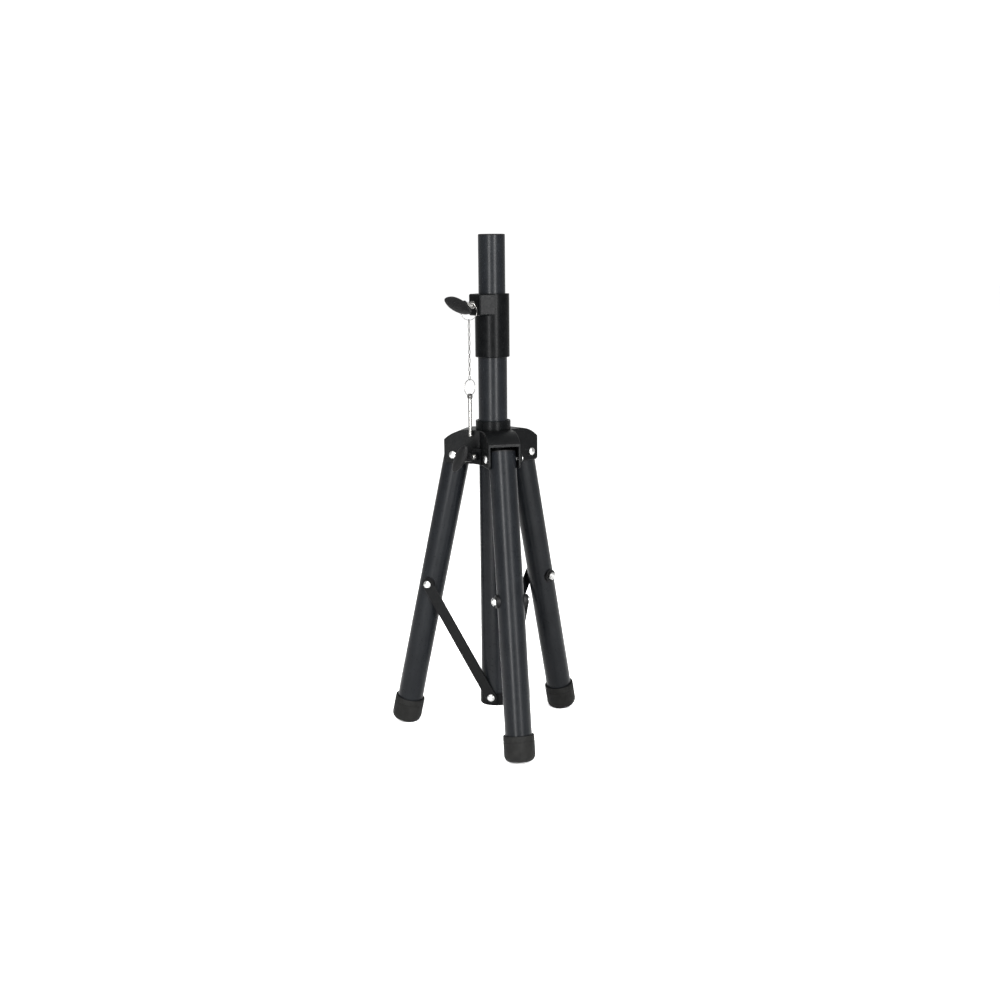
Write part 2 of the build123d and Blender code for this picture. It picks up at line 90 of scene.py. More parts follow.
def mark_corners(piece: bpy.types.Object, wanted: Callable[[Vector], bool]) -> None:
    """Selects a mesh's corners by their place, ready for edit mode.

    Args:
        piece: the mesh.
        wanted: whether a corner at that place is selected.
    """
    with editing(piece):
        bpy.ops.mesh.select_mode(type="VERT")
        bpy.ops.mesh.select_all(action="DESELECT")
    for corner in piece.data.vertices:
        corner.select = wanted(corner.co)


def named(name: str) -> bpy.types.Object:
    """Names the active piece and its mesh.

    Args:
        name: the piece's name.

    Returns:
        The active object.
    """
    piece = bpy.context.object
    piece.name = piece.data.name = name
    return piece


def settle(piece: bpy.types.Object) -> bpy.types.Object:
    """Applies a piece's own place, so that the object sits at the origin.

    Args:
        piece: the piece to settle.

    Returns:
        The same piece.
    """
    pick(piece)
    bpy.ops.object.transform_apply(location=True, rotation=True, scale=True)
    return piece


def put(piece: bpy.types.Object, place: Matrix) -> bpy.types.Object:
    """Moves a finished shape from the bench to its place on the stand.

    Args:
        piece: a piece modelled round the origin.
        place: where its own origin and axes go.

    Returns:
        The same piece, settled.
    """
    piece.matrix_world = place @ piece.matrix_world
    return settle(piece)


def close_up(piece: bpy.types.Object) -> None:
    """Fills open ends and turns all faces outwards."""
    with editing(piece):
        bpy.ops.mesh.select_all(action="SELECT")
        bpy.ops.mesh.fill_holes(sides=0)
        bpy.ops.mesh.select_all(action="SELECT")
        bpy.ops.mesh.normals_make_consistent(inside=False)


def smooth(piece: bpy.types.Object) -> bpy.types.Object:
    """Shades a piece smooth except across its sharp edges."""
    pick(piece)
    bpy.ops.object.shade_smooth_by_angle(angle=SMOOTH_ANGLE)
    return piece


def apply_modifiers(piece: bpy.types.Object) -> None:
    """Applies every modifier on a piece, from the top."""
    pick(piece)
    for modifier in list(piece.modifiers):
        bpy.ops.object.modifier_apply(modifier=modifier.name)


def bevel(piece: bpy.types.Object, width_mm: float, segments: int = 2, angle: float = 40) -> None:
    """Rounds a piece's sharp edges.

    Args:
        piece: the piece.
        width_mm: the bevel's width.
        segments: how many faces across it.
        angle: edges sharper than this are rounded, in degrees.
    """
    rounding = piece.modifiers.new("rounding", "BEVEL")
    rounding.width = width_mm * MM
    rounding.segments = segments
    rounding.angle_limit = math.radians(angle)
    apply_modifiers(piece)


def joined(name: str, pieces: Sequence[bpy.types.Object]) -> bpy.types.Object:
    """Joins several meshes into one piece.

    Args:
        name: the joined piece's name.
        pieces: the meshes, which are used up.

    Returns:
        The joined piece.
    """
    clear_selection()
    for piece in pieces:
        piece.select_set(True)
    bpy.context.view_layer.objects.active = pieces[0]
    bpy.ops.object.join()
    return smooth(named(name))


def copied(piece: bpy.types.Object, place: Matrix) -> bpy.types.Object:
    """Copies a piece with its own mesh.

    Args:
        piece: the piece to copy.
        place: where the copy's own origin and axes go.

    Returns:
        The copy, settled.
    """
    pick(piece)
    bpy.ops.object.duplicate(linked=False)
    return put(bpy.context.object, place)


def discard(piece: bpy.types.Object) -> None:
    """Removes a pattern piece once its copies are made."""
    pick(piece)
    bpy.ops.object.delete()


def turned(name: str, rings: Sequence[tuple[float, float]], segments: int = 48) -> bpy.types.Object:
    """Turns a closed round shape about its own Z axis, as on a lathe.

    Args:
        name: the piece's name.
        rings: (radius, height) of each ring in millimetres, in order along the outline.
        segments: faces round the circle.

    Returns:
        The turned piece, round the origin.
    """
    return lofted(name, [(z, r, r, 0.0) for r, z in rings], segments)


def lofted(
    name: str, sections: Sequence[tuple[float, float, float, float]], segments: int = 16
) -> bpy.types.Object:
    """Draws a closed shape out along its own Z axis through round or elliptic sections.

    Args:
        name: the piece's name.
        sections: (height, half width, half depth, twist in degrees) of each, in millimetres.
        segments: faces round a section.

    Returns:
        The piece, round the origin.
    """
    height, wide, deep, twist = sections[0]
    clear_selection()
    bpy.ops.mesh.primitive_circle_add(vertices=segments, radius=MM, location=(0, 0, height * MM))
    piece = named(name)
    piece.scale = (wide, deep, 1)
    piece.rotation_euler = (0, 0, math.radians(twist))
    settle(piece)
    with editing(piece):
        bpy.ops.mesh.select_mode(type="EDGE")
        bpy.ops.mesh.select_all(action="SELECT")
        for z, a, b, turn in sections[1:]:
            centre = (0, 0, z * MM)
            rise = (0, 0, (z - height) * MM)
            bpy.ops.mesh.extrude_edges_move(TRANSFORM_OT_translate={"value": rise})
            for angle in (-twist, None, turn):
                if angle is None:
                    bpy.ops.transform.resize(value=(a / wide, b / deep, 1), center_override=centre)
                elif angle:
                    bpy.ops.transform.rotate(
                        value=-math.radians(angle), orient_axis="Z", center_override=centre
                    )
            height, wide, deep, twist = z, a, b, turn
    close_up(piece)
    return smooth(piece)


def coil(
    name: str, radius: float, wire: float, turns: float, pitch: float, sides: int = 10
) -> bpy.types.Object:
    """Winds a wire round its own Z axis.

    Args:
        name: the piece's name.
        radius: the winding's radius in millimetres.
        wire: the wire's radius in millimetres.
        turns: how many turns.
        pitch: rise per turn in millimetres.
        sides: faces round the wire, 3 for a thread's rib.

    Returns:
        The winding, centred on the origin.
    """
    clear_selection()
    bpy.ops.mesh.primitive_circle_add(
        vertices=sides, radius=wire * MM, location=(radius * MM, 0, -turns * pitch * MM / 2),
        rotation=(math.radians(90), 0, 0),
    )
    piece = settle(named(name))
    winding = piece.modifiers.new("winding", "SCREW")
    winding.angle = math.tau * turns
    winding.screw_offset = pitch * turns * MM
    winding.steps = winding.render_steps = round(40 * turns)
    apply_modifiers(piece)
    close_up(piece)
    return smooth(piece)


# ---------------------------------------------------------------- places on the stand
def shift(x: float = 0.0, y: float = 0.0, z: float = 0.0) -> Matrix:
    """A move in millimetres."""
    return Matrix.Translation((x * MM, y * MM, z * MM))


def spin(axis: str, degrees: float) -> Matrix:
    """A turn about one axis, by the right-hand rule."""
    return Matrix.Rotation(math.radians(degrees), 4, axis)


def heading_of(vector: Sequence[float]) -> float:
    """The heading of a level direction, in degrees from +X."""
    return math.degrees(math.atan2(vector[1], vector[0]))


@dataclass(frozen=True)
class Places:
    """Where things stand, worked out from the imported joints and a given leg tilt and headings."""

    mast_y_mm: float
    leg_tilt: float = 12.2
    headings: tuple[float, float, float] = (-90.0, 30.0, 150.0)

    @classmethod
    def from_frame(cls) -> "Places":
        """Reads the mast's place from the brace's joint."""
        return cls(mast_y_mm=JOINTS["legs_spread"]["pos_m"][1] / MM)

    def mast(self, height: float = 0.0) -> Matrix:
        """A place on the mast's axis."""
        return shift(0, self.mast_y_mm, height)

    def yoke(self, leg: int, radius: float = 0.0, height: float = 0.0) -> Matrix:
        """A place in a leg's plane, with X outwards along it."""
        return self.mast(height) @ spin("Z", self.headings[leg - 1]) @ shift(radius)

    def pivot(self, leg: int, joint: str) -> Matrix:
        """A pivot of a leg, with Z along the pivot's screw towards its head.

        Args:
            leg: the leg's number.
            joint: the joint whose place it is, given for leg 1 and turned round the mast for the others.

        Returns:
            The place.
        """
        x, y, z = (value / MM for value in JOINTS[joint]["pos_m"])
        return self.yoke(leg, math.hypot(x, y - self.mast_y_mm), z) @ spin("X", -90)

    def foot(self, leg: int) -> Matrix:
        """The sole's centre on a leg's axis, with Z up along the leg."""
        hub_pivot = self.pivot(leg, "hub_level") @ spin("X", 90)
        return hub_pivot @ spin("Y", -self.leg_tilt) @ shift(z=-Foot.pivot_to_sole)

    def screw(self, joint: str) -> Matrix:
        """A clamp screw's place: on the mast's axis, with Z outwards along the screw and X down."""
        spot = JOINTS[joint]
        height = spot["pos_m"][2] / MM
        return self.mast(height) @ spin("Z", heading_of(spot["axis"])) @ spin("Y", 90)


# ---------------------------------------------------------------- finishes
class Nodes:
    """Short hand for building one material's node tree."""

    def __init__(self, name: str) -> None:
        """Starts a material with a Principled shader.

        Args:
            name: the material's name.
        """
        self.material = bpy.data.materials.new(name)
        self.material.use_nodes = True
        self.tree = self.material.node_tree
        self.shader = self.tree.nodes["Principled BSDF"]
        self.place = self.add("ShaderNodeTexCoord").outputs["Object"]

    def add(self, kind: str, **settings: object) -> bpy.types.Node:
        """Adds a node and sets its properties."""
        node = self.tree.nodes.new(kind)
        for key, value in settings.items():
            setattr(node, key, value)
        return node

    def link(self, source: bpy.types.NodeSocket, target: bpy.types.NodeSocket) -> None:
        """Joins two sockets."""
        self.tree.links.new(source, target)

    def noise(
        self, per_mm: float, detail: float = 3.0, stretch: tuple[float, float, float] = (1, 1, 1)
    ) -> bpy.types.NodeSocket:
        """Noise over the piece.

        Args:
            per_mm: how many cells to a millimetre.
            detail: octaves of detail.
            stretch: scale along each axis, below 1 to draw the grain out.

        Returns:
            The noise's factor.
        """
        mapping = self.add("ShaderNodeMapping")
        mapping.inputs["Scale"].default_value = stretch
        noise = self.add("ShaderNodeTexNoise")
        noise.inputs["Scale"].default_value = per_mm / MM
        noise.inputs["Detail"].default_value = detail
        self.link(self.place, mapping.inputs["Vector"])
        self.link(mapping.outputs["Vector"], noise.inputs["Vector"])
        return noise.outputs["Fac"]

    def spread(
        self, factor: bpy.types.NodeSocket, low: float, high: float
    ) -> bpy.types.NodeSocket:
        """Maps noise to a range of values."""
        node = self.add("ShaderNodeMapRange")
        node.inputs["From Min"].default_value = 0.3
        node.inputs["From Max"].default_value = 0.7
        node.inputs["To Min"].default_value = low
        node.inputs["To Max"].default_value = high
        self.link(factor, node.inputs["Value"])
        return node.outputs["Result"]

    def blend(
        self, factor: bpy.types.NodeSocket, first: Sequence[float], second: Sequence[float]
    ) -> bpy.types.NodeSocket:
        """Mixes two colours by a factor."""
        ramp = self.add("ShaderNodeValToRGB")
        ramp.color_ramp.elements[0].position = 0.3
        ramp.color_ramp.elements[1].position = 0.7
        ramp.color_ramp.elements[0].color = (*first, 1)
        ramp.color_ramp.elements[1].color = (*second, 1)
        self.link(factor, ramp.inputs["Fac"])
        return ramp.outputs["Color"]

    def bump(
        self, height: bpy.types.NodeSocket, depth_mm: float, under: bpy.types.NodeSocket | None
    ) -> bpy.types.NodeSocket:
        """Raises the surface by noise.

        Args:
            height: the noise.
            depth_mm: how deep the relief is.
            under: the normal that this relief lies on, if any.

        Returns:
            The normal.
        """
        node = self.add("ShaderNodeBump")
        node.inputs["Strength"].default_value = 1.0
        node.inputs["Distance"].default_value = depth_mm * MM
        self.link(height, node.inputs["Height"])
        if under is not None:
            self.link(under, node.inputs["Normal"])
        return node.outputs["Normal"]


@dataclass(frozen=True)
class Relief:
    """One layer of surface relief."""

    per_mm: float
    depth_mm: float
    stretch: tuple[float, float, float] = (1.0, 1.0, 1.0)


@dataclass(frozen=True)
class Finish:
    """A surface finish: its colours, gloss and relief."""

    name: str
    slot: str
    dark: tuple[float, float, float]
    light: tuple[float, float, float]
    blotch_per_mm: float
    gloss: tuple[float, float]
    gloss_per_mm: float
    metallic: float = 0.0
    specular: float = 0.5
    sheen: float = 0.0
    relief: tuple[Relief, ...] = ()
    gloss_stretch: tuple[float, float, float] = (1.0, 1.0, 1.0)

    def material(self) -> bpy.types.Material:
        """The finish's material, made once."""
        if self.name in bpy.data.materials:
            return bpy.data.materials[self.name]
        nodes = Nodes(self.name)
        shader = nodes.shader.inputs
        shader["Metallic"].default_value = self.metallic
        shader["Specular IOR Level"].default_value = self.specular
        shader["Sheen Weight"].default_value = self.sheen
        blotches = nodes.noise(self.blotch_per_mm)
        nodes.link(nodes.blend(blotches, self.dark, self.light), shader["Base Color"])
        smears = nodes.noise(self.gloss_per_mm, 4.0, self.gloss_stretch)
        nodes.link(nodes.spread(smears, *self.gloss), shader["Roughness"])
        normal = None
        for layer in self.relief:
            height = nodes.noise(layer.per_mm, 2.0, layer.stretch)
            normal = nodes.bump(height, layer.depth_mm, normal)
        if normal is not None:
            nodes.link(normal, shader["Normal"])
        return nodes.material

    def dress(self, piece: bpy.types.Object) -> None:
        """Gives a piece this finish in all its material slots."""
        piece.data.materials.clear()
        piece.data.materials.append(self.material())


class Look(Enum):
    """The finishes on the stand."""

    TUBE = Finish(
        "satin_powder_coat", "black_tube", (0.0021, 0.0024, 0.0029), (0.0030, 0.0034, 0.0040), 0.05,
        (0.26, 0.36), 0.3, specular=0.06, relief=(Relief(1.1, 0.006), Relief(4.0, 0.002)),
    )
    PLATE = Finish(
        "pressed_plate_coat", "black_plate", (0.0007, 0.0008, 0.0009), (0.0015, 0.0016, 0.0017), 0.08,
        (0.32, 0.46), 0.25, specular=0.045, relief=(Relief(0.25, 0.02), Relief(2.6, 0.006)),
    )
    COLLAR = Finish(
        "satin_nylon", "black_collar", (0.0006, 0.0007, 0.0008), (0.0012, 0.0013, 0.0014), 0.10,
        (0.26, 0.36), 0.4, specular=0.028, relief=(Relief(0.6, 0.008), Relief(5.0, 0.003)),
    )
    KNOB = Finish(
        "grained_plastic", "knob", (0.0014, 0.0014, 0.0015), (0.0026, 0.0026, 0.0027), 0.2,
        (0.38, 0.52), 0.6, specular=0.06, relief=(Relief(2.2, 0.02), Relief(7.0, 0.006)),
    )
    RUBBER = Finish(
        "moulded_rubber", "foot_rubber", (0.0022, 0.0022, 0.0021), (0.0040, 0.0040, 0.0038), 0.12,
        (0.55, 0.75), 0.3, specular=0.05, relief=(Relief(1.6, 0.03), Relief(6.0, 0.01)),
    )
    ZINC = Finish(
        "bright_zinc", "zinc", (0.27, 0.27, 0.265), (0.36, 0.36, 0.355), 0.5,
        (0.18, 0.34), 1.5, metallic=1.0, relief=(Relief(3.0, 0.004),),
    )
    NICKEL = Finish(
        "worn_nickel", "nickel", (0.10, 0.098, 0.094), (0.15, 0.147, 0.140), 0.6,
        (0.16, 0.30), 1.2, metallic=1.0, relief=(Relief(4.0, 0.003),),
    )


def finish_off(
    piece: bpy.types.Object, look: Look, body: str, *stands_for: str
) -> bpy.types.Object:
    """Dresses a new piece, and tells the frame what it rides on and stands for.

    Args:
        piece: the finished shape.
        look: its finish.
        body: the body that it moves with.
        stands_for: the nodes that it takes the place of.

    Returns:
        The piece.
    """
    look.value.dress(piece)
    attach(piece, body)
    if stands_for:
        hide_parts(*stands_for)
    LOG.info("%s: %d faces on %s", piece.name, len(piece.data.polygons), body)
    return piece


def dress_nodes(look: Look, *nodes: str) -> None:
    """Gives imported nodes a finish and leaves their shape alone."""
    for node in nodes:
        look.value.dress(frame["nodes"][node])
        LOG.info("%s keeps its shape, in %s", node, look.value.name)


# ---------------------------------------------------------------- room, light and camera
@dataclass
class Studio:
    """A pale floor, soft strip lights and the camera."""

    camera_at: tuple[float, float, float] = (-0.3959, -1.6356, 0.6368)
    camera_heading: float = 76.38
    camera_dip: float = 10.48
    camera_roll: float = -0.50
    lens_mm: float = 47.0
    floor_radius: float = 30.0
    floor_tone: tuple[float, float, float] = (0.95, 0.95, 0.95)
    sky: tuple[float, float, float] = (1.0, 1.0, 1.0)
    sky_strength: float = 1.07

    def build(self) -> None:
        """Makes the camera, lights, sky and floor."""
        self.add_camera()
        self.add_sky()
        self.add_floor()
        aim = Vector((0, 0.033, 0.42))
        self.add_light("right_strip", 152, 1.8, 0.95, (0.22, 2.0), 130.0, aim)
        self.add_light("left_strip", 200, 1.8, 0.95, (0.22, 2.0), 120.0, aim)
        self.add_light("top_panel", 190, 0.6, 2.2, (1.6, 1.6), 24.0, aim)
        view = bpy.context.scene.view_settings
        view.view_transform = "Standard"

    def add_camera(self) -> None:
        """Stands the camera in front of the stand, a little above its middle."""
        data = bpy.data.cameras.new("camera")
        data.lens = self.lens_mm
        data.sensor_width = 36.0
        camera = bpy.data.objects.new("camera", data)
        bpy.context.scene.collection.objects.link(camera)
        level = spin("Z", self.camera_heading - 90) @ spin("X", 90 - self.camera_dip)
        camera.matrix_world = Matrix.Translation(self.camera_at) @ level @ spin("Z", self.camera_roll)
        bpy.context.scene.camera = camera

    def add_sky(self) -> None:
        """Fills the room with even white light."""
        world = bpy.data.worlds.new("room")
        world.use_nodes = True
        background = world.node_tree.nodes["Background"]
        background.inputs["Color"].default_value = (*self.sky, 1)
        background.inputs["Strength"].default_value = self.sky_strength
        bpy.context.scene.world = world

    def add_floor(self) -> None:
        """Lays a wide round floor of pale matt paint."""
        clear_selection()
        bpy.ops.mesh.primitive_circle_add(
            vertices=96, radius=self.floor_radius, fill_type="NGON", location=(0, 0, -0.0002)
        )
        floor = settle(named("floor"))
        nodes = Nodes("pale_floor")
        tone = self.floor_tone
        paler = tuple(value + 0.02 for value in tone)
        nodes.link(nodes.blend(nodes.noise(0.004), tone, paler), nodes.shader.inputs["Base Color"])
        nodes.shader.inputs["Roughness"].default_value = 0.9
        nodes.shader.inputs["Specular IOR Level"].default_value = 0.1
        floor.data.materials.append(nodes.material)

    def add_light(
        self, name: str, bearing: float, distance: float, height: float,
        size: tuple[float, float], power: float, aim: Vector,
    ) -> None:
        """Adds a soft panel light that faces the stand.

        Args:
            name: the light's name.
            bearing: degrees round the stand from the back, clockwise seen from above.
            distance: level distance from the stand in metres.
            height: height in metres.
            size: the panel's width and height in metres.
            power: its power in watts.
            aim: the point it faces.
        """
        data = bpy.data.lights.new(name, "AREA")
        data.shape = "RECTANGLE"
        data.size, data.size_y = size
        data.energy = power
        light = bpy.data.objects.new(name, data)
        bpy.context.scene.collection.objects.link(light)
        around = math.radians(self.camera_heading - bearing)
        spot = Vector((aim.x + distance * math.cos(around), aim.y + distance * math.sin(around), height))
        light.location = spot
        light.rotation_euler = (aim - spot).to_track_quat("-Z", "Y").to_euler()


# ---------------------------------------------------------------- fasteners
@dataclass
class Fasteners:
    """The screws and nuts of the leg linkage."""

    places: Places
    head: tuple[tuple[float, float], ...] = (
        (3.0, -0.3), (5.1, -0.05), (5.2, 0.15), (5.2, 0.8), (4.95, 1.5), (4.35, 2.15), (3.4, 2.7),
        (2.2, 3.05), (0.8, 3.18),
    )
    head_side: dict[int, int] = field(default_factory=lambda: {1: -1, 2: -1, 3: 1})
    shank_r: float = 2.98
    nut_flats: float = 10.0
    nut_body: float = 3.5
    nut_height: float = 4.5
    yoke_face: float = 21.4
    brace_face: float = 22.6
    far_saddle: float = 19.9
    past_nut: float = 5.5
    socket: float = 8.9
    overlap: float = 0.2

    def domed_head(self) -> bpy.types.Object:
        """A domed head round the origin, standing along +Z, with a cross recess."""
        head = turned("head", self.head, 40)
        arms = []
        for angle in (0, 90):
            clear_selection()
            bpy.ops.mesh.primitive_cube_add(size=MM)
            arm = named("arm")
            arm.scale = (5.0, 1.1, 3.2)
            arms.append(put(arm, shift(z=3.2) @ spin("Z", angle)))
        for arm in arms:
            cut = head.modifiers.new("recess", "BOOLEAN")
            cut.object = arm
            cut.solver = "EXACT"
        apply_modifiers(head)
        for arm in arms:
            discard(arm)
        return smooth(head)

    def shank(self, start: float, end: float) -> bpy.types.Object:
        """A plain shank from start to end along +Z, chamfered at its start."""
        r = self.shank_r
        return turned("shank", [(r - 0.5, start), (r, start + 0.5), (r, end)], 32)

    def screw(self, seat: float, tip: float) -> bpy.types.Object:
        """A domed head that stands on a seat along +Z, with its shank down to the tip."""
        head = put(self.domed_head(), shift(z=seat))
        return joined("bolt", [head, self.shank(tip, seat + self.overlap)])

    def lock_nut(self) -> bpy.types.Object:
        """A hexagon nut round the origin with its collar of nylon, standing along -Z."""
        clear_selection()
        bpy.ops.mesh.primitive_cylinder_add(
            vertices=6, radius=self.nut_flats / 2 / math.cos(math.pi / 6) * MM,
            depth=self.nut_body * MM, location=(0, 0, -self.nut_body / 2 * MM),
        )
        flats = settle(named("flats"))
        bevel(flats, 0.45, 2)
        low, top = -self.nut_body, -self.nut_height
        rings = [(4.7, low + 0.3), (4.7, low - 0.35), (4.3, top + 0.1), (3.4, top), (3.1, top + 0.4)]
        crown = turned("crown", rings, 36)
        return joined("nut", [flats, crown])

    def scatter(
        self, name: str, pattern: bpy.types.Object, spots: Sequence[Matrix]
    ) -> bpy.types.Object:
        """Copies a pattern to several places, joins the copies and removes the pattern."""
        copies = [copied(pattern, spot) for spot in spots]
        discard(pattern)
        return joined(name, copies)

    def build(self) -> None:
        """Makes every screw and nut of the linkage."""
        hub = [self.places.pivot(leg, "hub_level") for leg in LEGS]
        bolt = self.screw(self.yoke_face, -self.yoke_face - self.past_nut - 0.1)
        heads = [spot @ spin("X", 90 - 90 * self.head_side[leg]) for leg, spot in zip(LEGS, hub)]
        pivot_bolts = self.scatter("yoke_bolts", bolt, heads)
        finish_off(pivot_bolts, Look.ZINC, "hub", "pivot_bolts")
        nuts = [spot @ shift(z=-self.yoke_face) for spot in heads]
        pivot_nuts = self.scatter("yoke_nuts", self.lock_nut(), nuts)
        finish_off(pivot_nuts, Look.PLATE, "hub", "pivot_nuts")

        feet = [self.places.pivot(leg, "legs_spread") for leg in LEGS]
        short = self.screw(self.brace_face, self.socket)
        finish_off(self.scatter("mast_bolts", short, feet), Look.ZINC, "mast", "bracket_bolts")

        for leg in LEGS:
            spot = self.places.pivot(leg, "leg_1_swing")
            body = f"leg_{leg}"
            screw = put(self.screw(self.brace_face, -self.far_saddle - self.past_nut), spot)
            screw.name = f"leg_{leg}_brace_screw"
            finish_off(screw, Look.ZINC, body, f"leg_{leg}_brace_bolt")
            nut = put(self.lock_nut(), spot @ shift(z=-self.far_saddle))
            nut.name = f"leg_{leg}_lock_nut"
            finish_off(nut, Look.ZINC, body, f"leg_{leg}_brace_nut")


# ---------------------------------------------------------------- legs
@dataclass
class Foot:
    """A rubber cup pressed over the end of each leg."""

    places: Places
    pivot_to_sole: float = 388.9
    outline: tuple[tuple[float, float], ...] = (
        (0.5, 0.0), (4.0, 0.0), (4.3, 0.5), (5.1, 0.5), (5.4, 0.0), (8.4, 0.0), (8.7, 0.5),
        (9.5, 0.5), (9.8, 0.0), (12.3, 0.0), (14.8, 0.4), (17.0, 1.55), (18.8, 3.5), (19.9, 5.9),
        (20.3, 8.2), (20.3, 26.0), (20.0, 26.3), (20.0, 27.2), (20.3, 27.6), (20.3, 32.8),
        (20.05, 33.9), (19.3, 34.4), (18.4, 34.2), (18.0, 33.2), (17.53, 30.5), (17.53, 6.5),
        (16.5, 6.0), (0.5, 6.0),
    )

    def build(self) -> None:
        """Makes the three feet, each cut flat where it meets the floor."""
        for leg in LEGS:
            cup = put(turned("cup", self.outline, 72), self.places.foot(leg))
            with editing(cup):
                bpy.ops.mesh.select_all(action="SELECT")
                bpy.ops.mesh.bisect(
                    plane_co=(0, 0, 0), plane_no=(0, 0, 1), use_fill=True, clear_inner=True
                )
            cup.name = f"leg_{leg}_rubber_foot"
            smooth(cup)
            finish_off(cup, Look.RUBBER, f"leg_{leg}", f"leg_{leg}_foot")


# ---------------------------------------------------------------- clamp screws and knobs
@dataclass
class WingKnob:
    """A wing knob moulded on a threaded screw, with the nut that the screw runs in.

    The seat is where the stem starts, measured along the screw from the mast's axis, and
    the turn is the wing's angle about the screw. Lengths are in millimetres.
    """

    places: Places
    joint: str
    body: str
    holder: str
    label: str
    seat: float
    stem_length: float
    span: float
    width: float
    turn: float
    thread: tuple[float, float]
    nut_seat: float
    twist: float = 10.0
    half_thick: float = 4.0
    nut_corner_r: float = 5.77
    nut_height: float = 3.3
    nut_gap: float = 0.05
    nut_look: Look = Look.NICKEL

    def wing(self) -> bpy.types.Object:
        """The leaf-shaped wing, drawn out along its length with a ridge on each face."""
        shape = (
            (-0.500, 0.08, 0.24), (-0.480, 0.26, 0.50), (-0.430, 0.47, 0.72), (-0.345, 0.70, 0.88),
            (-0.240, 0.88, 0.96), (-0.120, 0.98, 1.00), (0.0, 1.00, 1.02),
        )
        half, thick = self.width / 2, self.half_thick
        sections = [(s * self.span, w * half, t * thick, s * 2 * self.twist) for s, w, t in shape]
        sections += [(-z, a, b, -turn) for z, a, b, turn in reversed(sections[:-1])]
        wing = lofted("wing", sections, 12)
        ridge = wing.data.attributes.new("crease_edge", "FLOAT", "EDGE")
        corners = wing.data.vertices
        for edge in wing.data.edges:
            ends = [corners[index].co for index in edge.vertices]
            along = abs(ends[0].z - ends[1].z) > 0.2 * MM
            middle = all(abs(end.x) < 1.9 * MM and abs(end.y) > 1.0 * MM for end in ends)
            ridge.data[edge.index].value = 0.7 if along and middle else 0.0
        rounding = wing.modifiers.new("rounding", "SUBSURF")
        rounding.levels = rounding.render_levels = 3
        apply_modifiers(wing)
        return smooth(wing)

    def stem(self) -> bpy.types.Object:
        """The round stem below the wing, waisted and with a flat bearing face."""
        top = self.stem_length
        return turned(
            "stem",
            [
                (3.05, 0.6), (3.3, 0.0), (5.7, 0.0), (6.0, 0.4), (6.0, 2.2), (5.5, 3.0), (5.3, 4.2),
                (5.6, top - 1.4), (6.6, top + 0.2), (7.0, top + 2.0), (3.0, top + 4.0), (3.0, 4.0),
            ],
            40,
        )

    def threaded_rod(self) -> bpy.types.Object:
        """The screw, with a helical thread over its whole length."""
        start, end = self.thread
        core = turned("core", [(2.0, start), (2.55, start + 0.6), (2.55, end)], 32)
        turns = end - start - 1.6
        rib = put(coil("rib", 2.62, 0.36, turns, 1.0, 3), shift(z=(start + end) / 2 + 0.2))
        return joined("rod", [core, rib])

    def build(self) -> None:
        """Makes the knob, its screw and the nut against the boss."""
        axis = self.places.screw(self.joint)
        middle = self.seat + self.stem_length + self.half_thick
        facing = axis @ shift(z=middle) @ spin("Z", self.turn)
        wing = put(self.wing(), facing @ spin("X", 90))
        stem = put(self.stem(), axis @ shift(z=self.seat))
        knob = joined(f"{self.label}_wing_knob", [wing, stem])
        finish_off(knob, Look.KNOB, self.body, f"{self.label}_knob")
        rod = put(self.threaded_rod(), axis)
        rod.name = f"{self.label}_threaded_rod"
        finish_off(rod, Look.NICKEL, self.body, f"{self.label}_screw")
        clear_selection()
        bpy.ops.mesh.primitive_cylinder_add(
            vertices=6, radius=self.nut_corner_r * MM, depth=self.nut_height * MM,
            location=(0, 0, (self.nut_seat + self.nut_gap + self.nut_height / 2) * MM),
        )
        nut = settle(named(f"{self.label}_jam_nut"))
        bevel(nut, 0.6, 2)
        finish_off(put(smooth(nut), axis), self.nut_look, self.holder, f"{self.label}_nut")


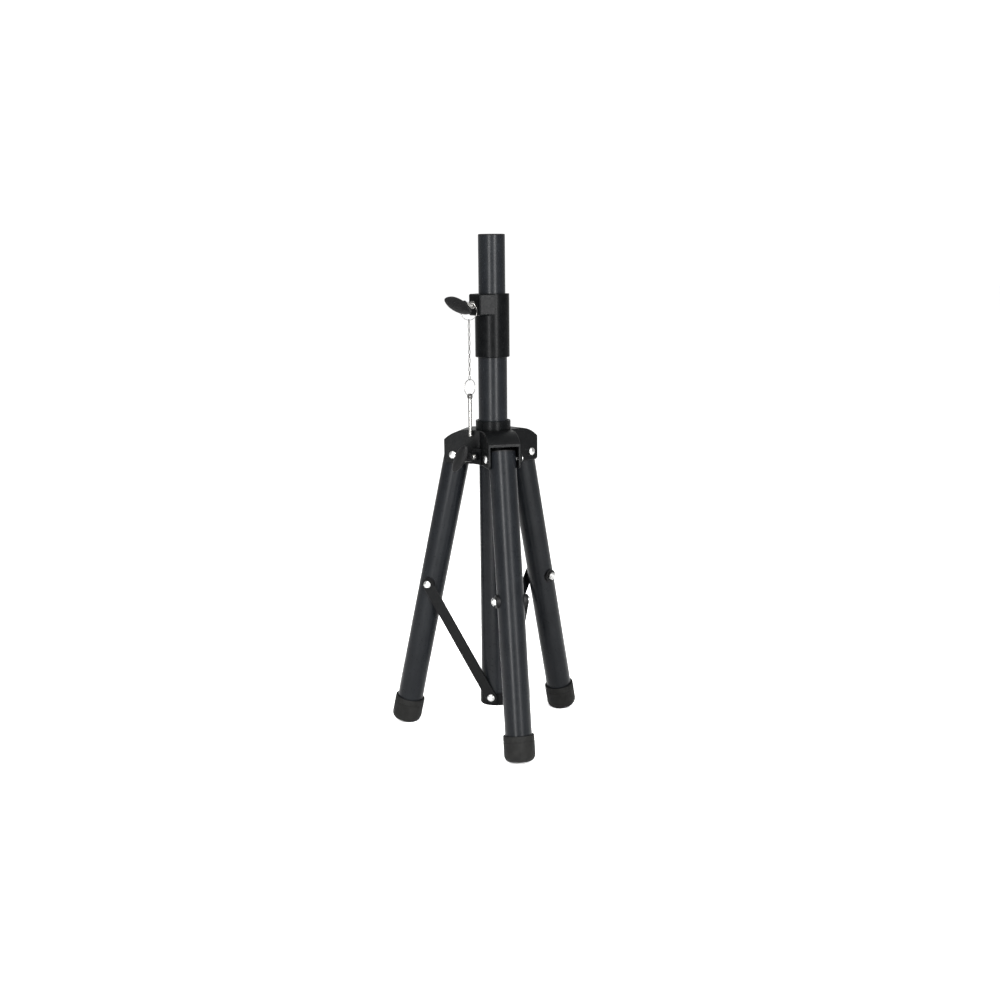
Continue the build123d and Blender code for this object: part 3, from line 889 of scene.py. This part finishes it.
# ---------------------------------------------------------------- the pin and its chain
@dataclass
class Tether:
    """The safety pin, hung from the clamp screw by a ring, a chain and a second ring."""

    places: Places
    radius: float = 37.6
    wire: float = 0.33
    link_wire: float = 0.50
    link_count: int = 14
    path_steps: int = 12
    upper_turn: float = 30.0
    lower_turn: float = 100.0

    def plumb(self, height: float, turn: float = 0.0) -> Matrix:
        """A place on the line that the chain hangs in.

        Args:
            height: height in millimetres.
            turn: degrees about the vertical, from the clamp screw's heading.

        Returns:
            The place, with Z up.
        """
        level = spin("Z", heading_of(JOINTS["clamp_turn"]["axis"]))
        return self.places.mast(height) @ level @ shift(self.radius) @ spin("Z", turn)

    def ring(self, name: str, node: str, turn: float) -> tuple[float, float]:
        """A split ring in a packed ring's place.

        Args:
            name: the piece's name.
            node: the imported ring.
            turn: how the ring's face is turned.

        Returns:
            The ring's centre height and its wire's mean radius, in millimetres.
        """
        low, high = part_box(node)
        centre = (low.z + high.z) / 2 / MM
        mean = (high.z - low.z) / 2 / MM - 2 * self.wire
        ring = coil(name, mean, self.wire, 1.92, 2 * self.wire, 10)
        put(ring, self.plumb(centre, turn) @ spin("Y", 90))
        finish_off(ring, Look.NICKEL, "tether", node)
        return centre, mean

    def link(self, half_length: float, half_width: float) -> bpy.types.Object:
        """One oval link round the origin, with its length along Z and its face across X."""
        clear_selection()
        major = (half_width - self.link_wire) * MM
        bpy.ops.mesh.primitive_torus_add(
            major_radius=major, minor_radius=self.link_wire * MM, major_segments=20,
            minor_segments=8, rotation=(0, math.radians(90), 0),
        )
        link = settle(named("link"))
        reach = (half_length - half_width) * MM
        for side in (1, -1):
            mark_corners(link, lambda co: co.z * side > 0.01 * MM)
            with editing(link):
                bpy.ops.transform.translate(value=(0, 0, side * reach))
        with editing(link):
            for part in (-0.6, -0.2, 0.2, 0.6):
                bpy.ops.mesh.select_all(action="SELECT")
                bpy.ops.mesh.bisect(plane_co=(0, 0, part * reach), plane_no=(0, 0, 1))
        return smooth(link)

    def chain(self, top: float, bottom: float) -> bpy.types.Object:
        """The links from one ring to the other.

        Args:
            top: the upper end's outer height in millimetres.
            bottom: the lower end's.

        Returns:
            The chain.
        """
        wire = 2 * self.link_wire
        pitch = (top - bottom - wire) / self.link_count
        pattern = self.link((pitch + wire) / 2, 1.65)
        pieces = []
        for number in range(self.link_count):
            height = top - wire / 2 - pitch * (number + 0.5)
            turn = self.upper_turn + 90 + 90 * (number % 2)
            pieces.append(copied(pattern, self.plumb(height, turn)))
        discard(pattern)
        return joined("pin_chain", pieces)

    def build(self) -> None:
        upper, upper_mean = self.ring("upper_split_ring", "upper_ring", self.upper_turn)
        lower, lower_mean = self.ring("lower_split_ring", "lower_ring", self.lower_turn)
        wire = 2 * self.link_wire
        top = upper - upper_mean + self.wire + wire
        bottom = lower + lower_mean - self.wire - wire
        chain = finish_off(self.chain(top, bottom), Look.NICKEL, "tether", "chain")
        dress_nodes(Look.NICKEL, "safety_pin")
        ends = [self.plumb(height).translation for height in (top, bottom)]


# ---------------------------------------------------------------- tubes, hub and braces
@dataclass
class Frame:
    """The tubes, the hub, the collar and the braces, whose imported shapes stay."""

    def build(self) -> None:
        """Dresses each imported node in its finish."""
        dress_nodes(Look.TUBE, "lower_tube", "upper_tube", *[f"leg_{leg}_tube" for leg in LEGS])
        dress_nodes(Look.PLATE, "hub_body", *[f"brace_{leg}" for leg in LEGS])
        dress_nodes(Look.COLLAR, "clamp_collar", "hub_bush", "bottom_cap", "guide_bush")
        dress_nodes(Look.KNOB, "upper_plug", "bottom_plug", "clamp_pad", "hub_pad")
        for leg in LEGS:
            dress_nodes(Look.KNOB, f"leg_{leg}_plug", f"leg_{leg}_brace_saddle", f"leg_{leg}_nut_saddle")


def main() -> None:
    """Builds the stand and its room."""
    logging.basicConfig(level=logging.INFO, format="%(name)s %(message)s")
    places = Places.from_frame()
    Studio().build()
    Tether(places).build()
    Frame().build()
    Fasteners(places).build()
    Foot(places).build()
    WingKnob(
        places, "clamp_turn", "clamp_handle", "mast", "clamp", seat=43.5, stem_length=7.0, span=59.0,
        width=19.0, turn=-14.0, thread=(20.6, 52.5), nut_seat=29.0,
    ).build()
    WingKnob(
        places, "hub_screw_turn", "hub_handle", "hub", "hub", seat=42.0, stem_length=14.0, span=45.0,
        width=19.0, turn=53.0, thread=(24.1, 58.0), nut_seat=31.0, twist=16.0,
        nut_look=Look.PLATE,
    ).build()


if __name__ == "__main__":
    main()
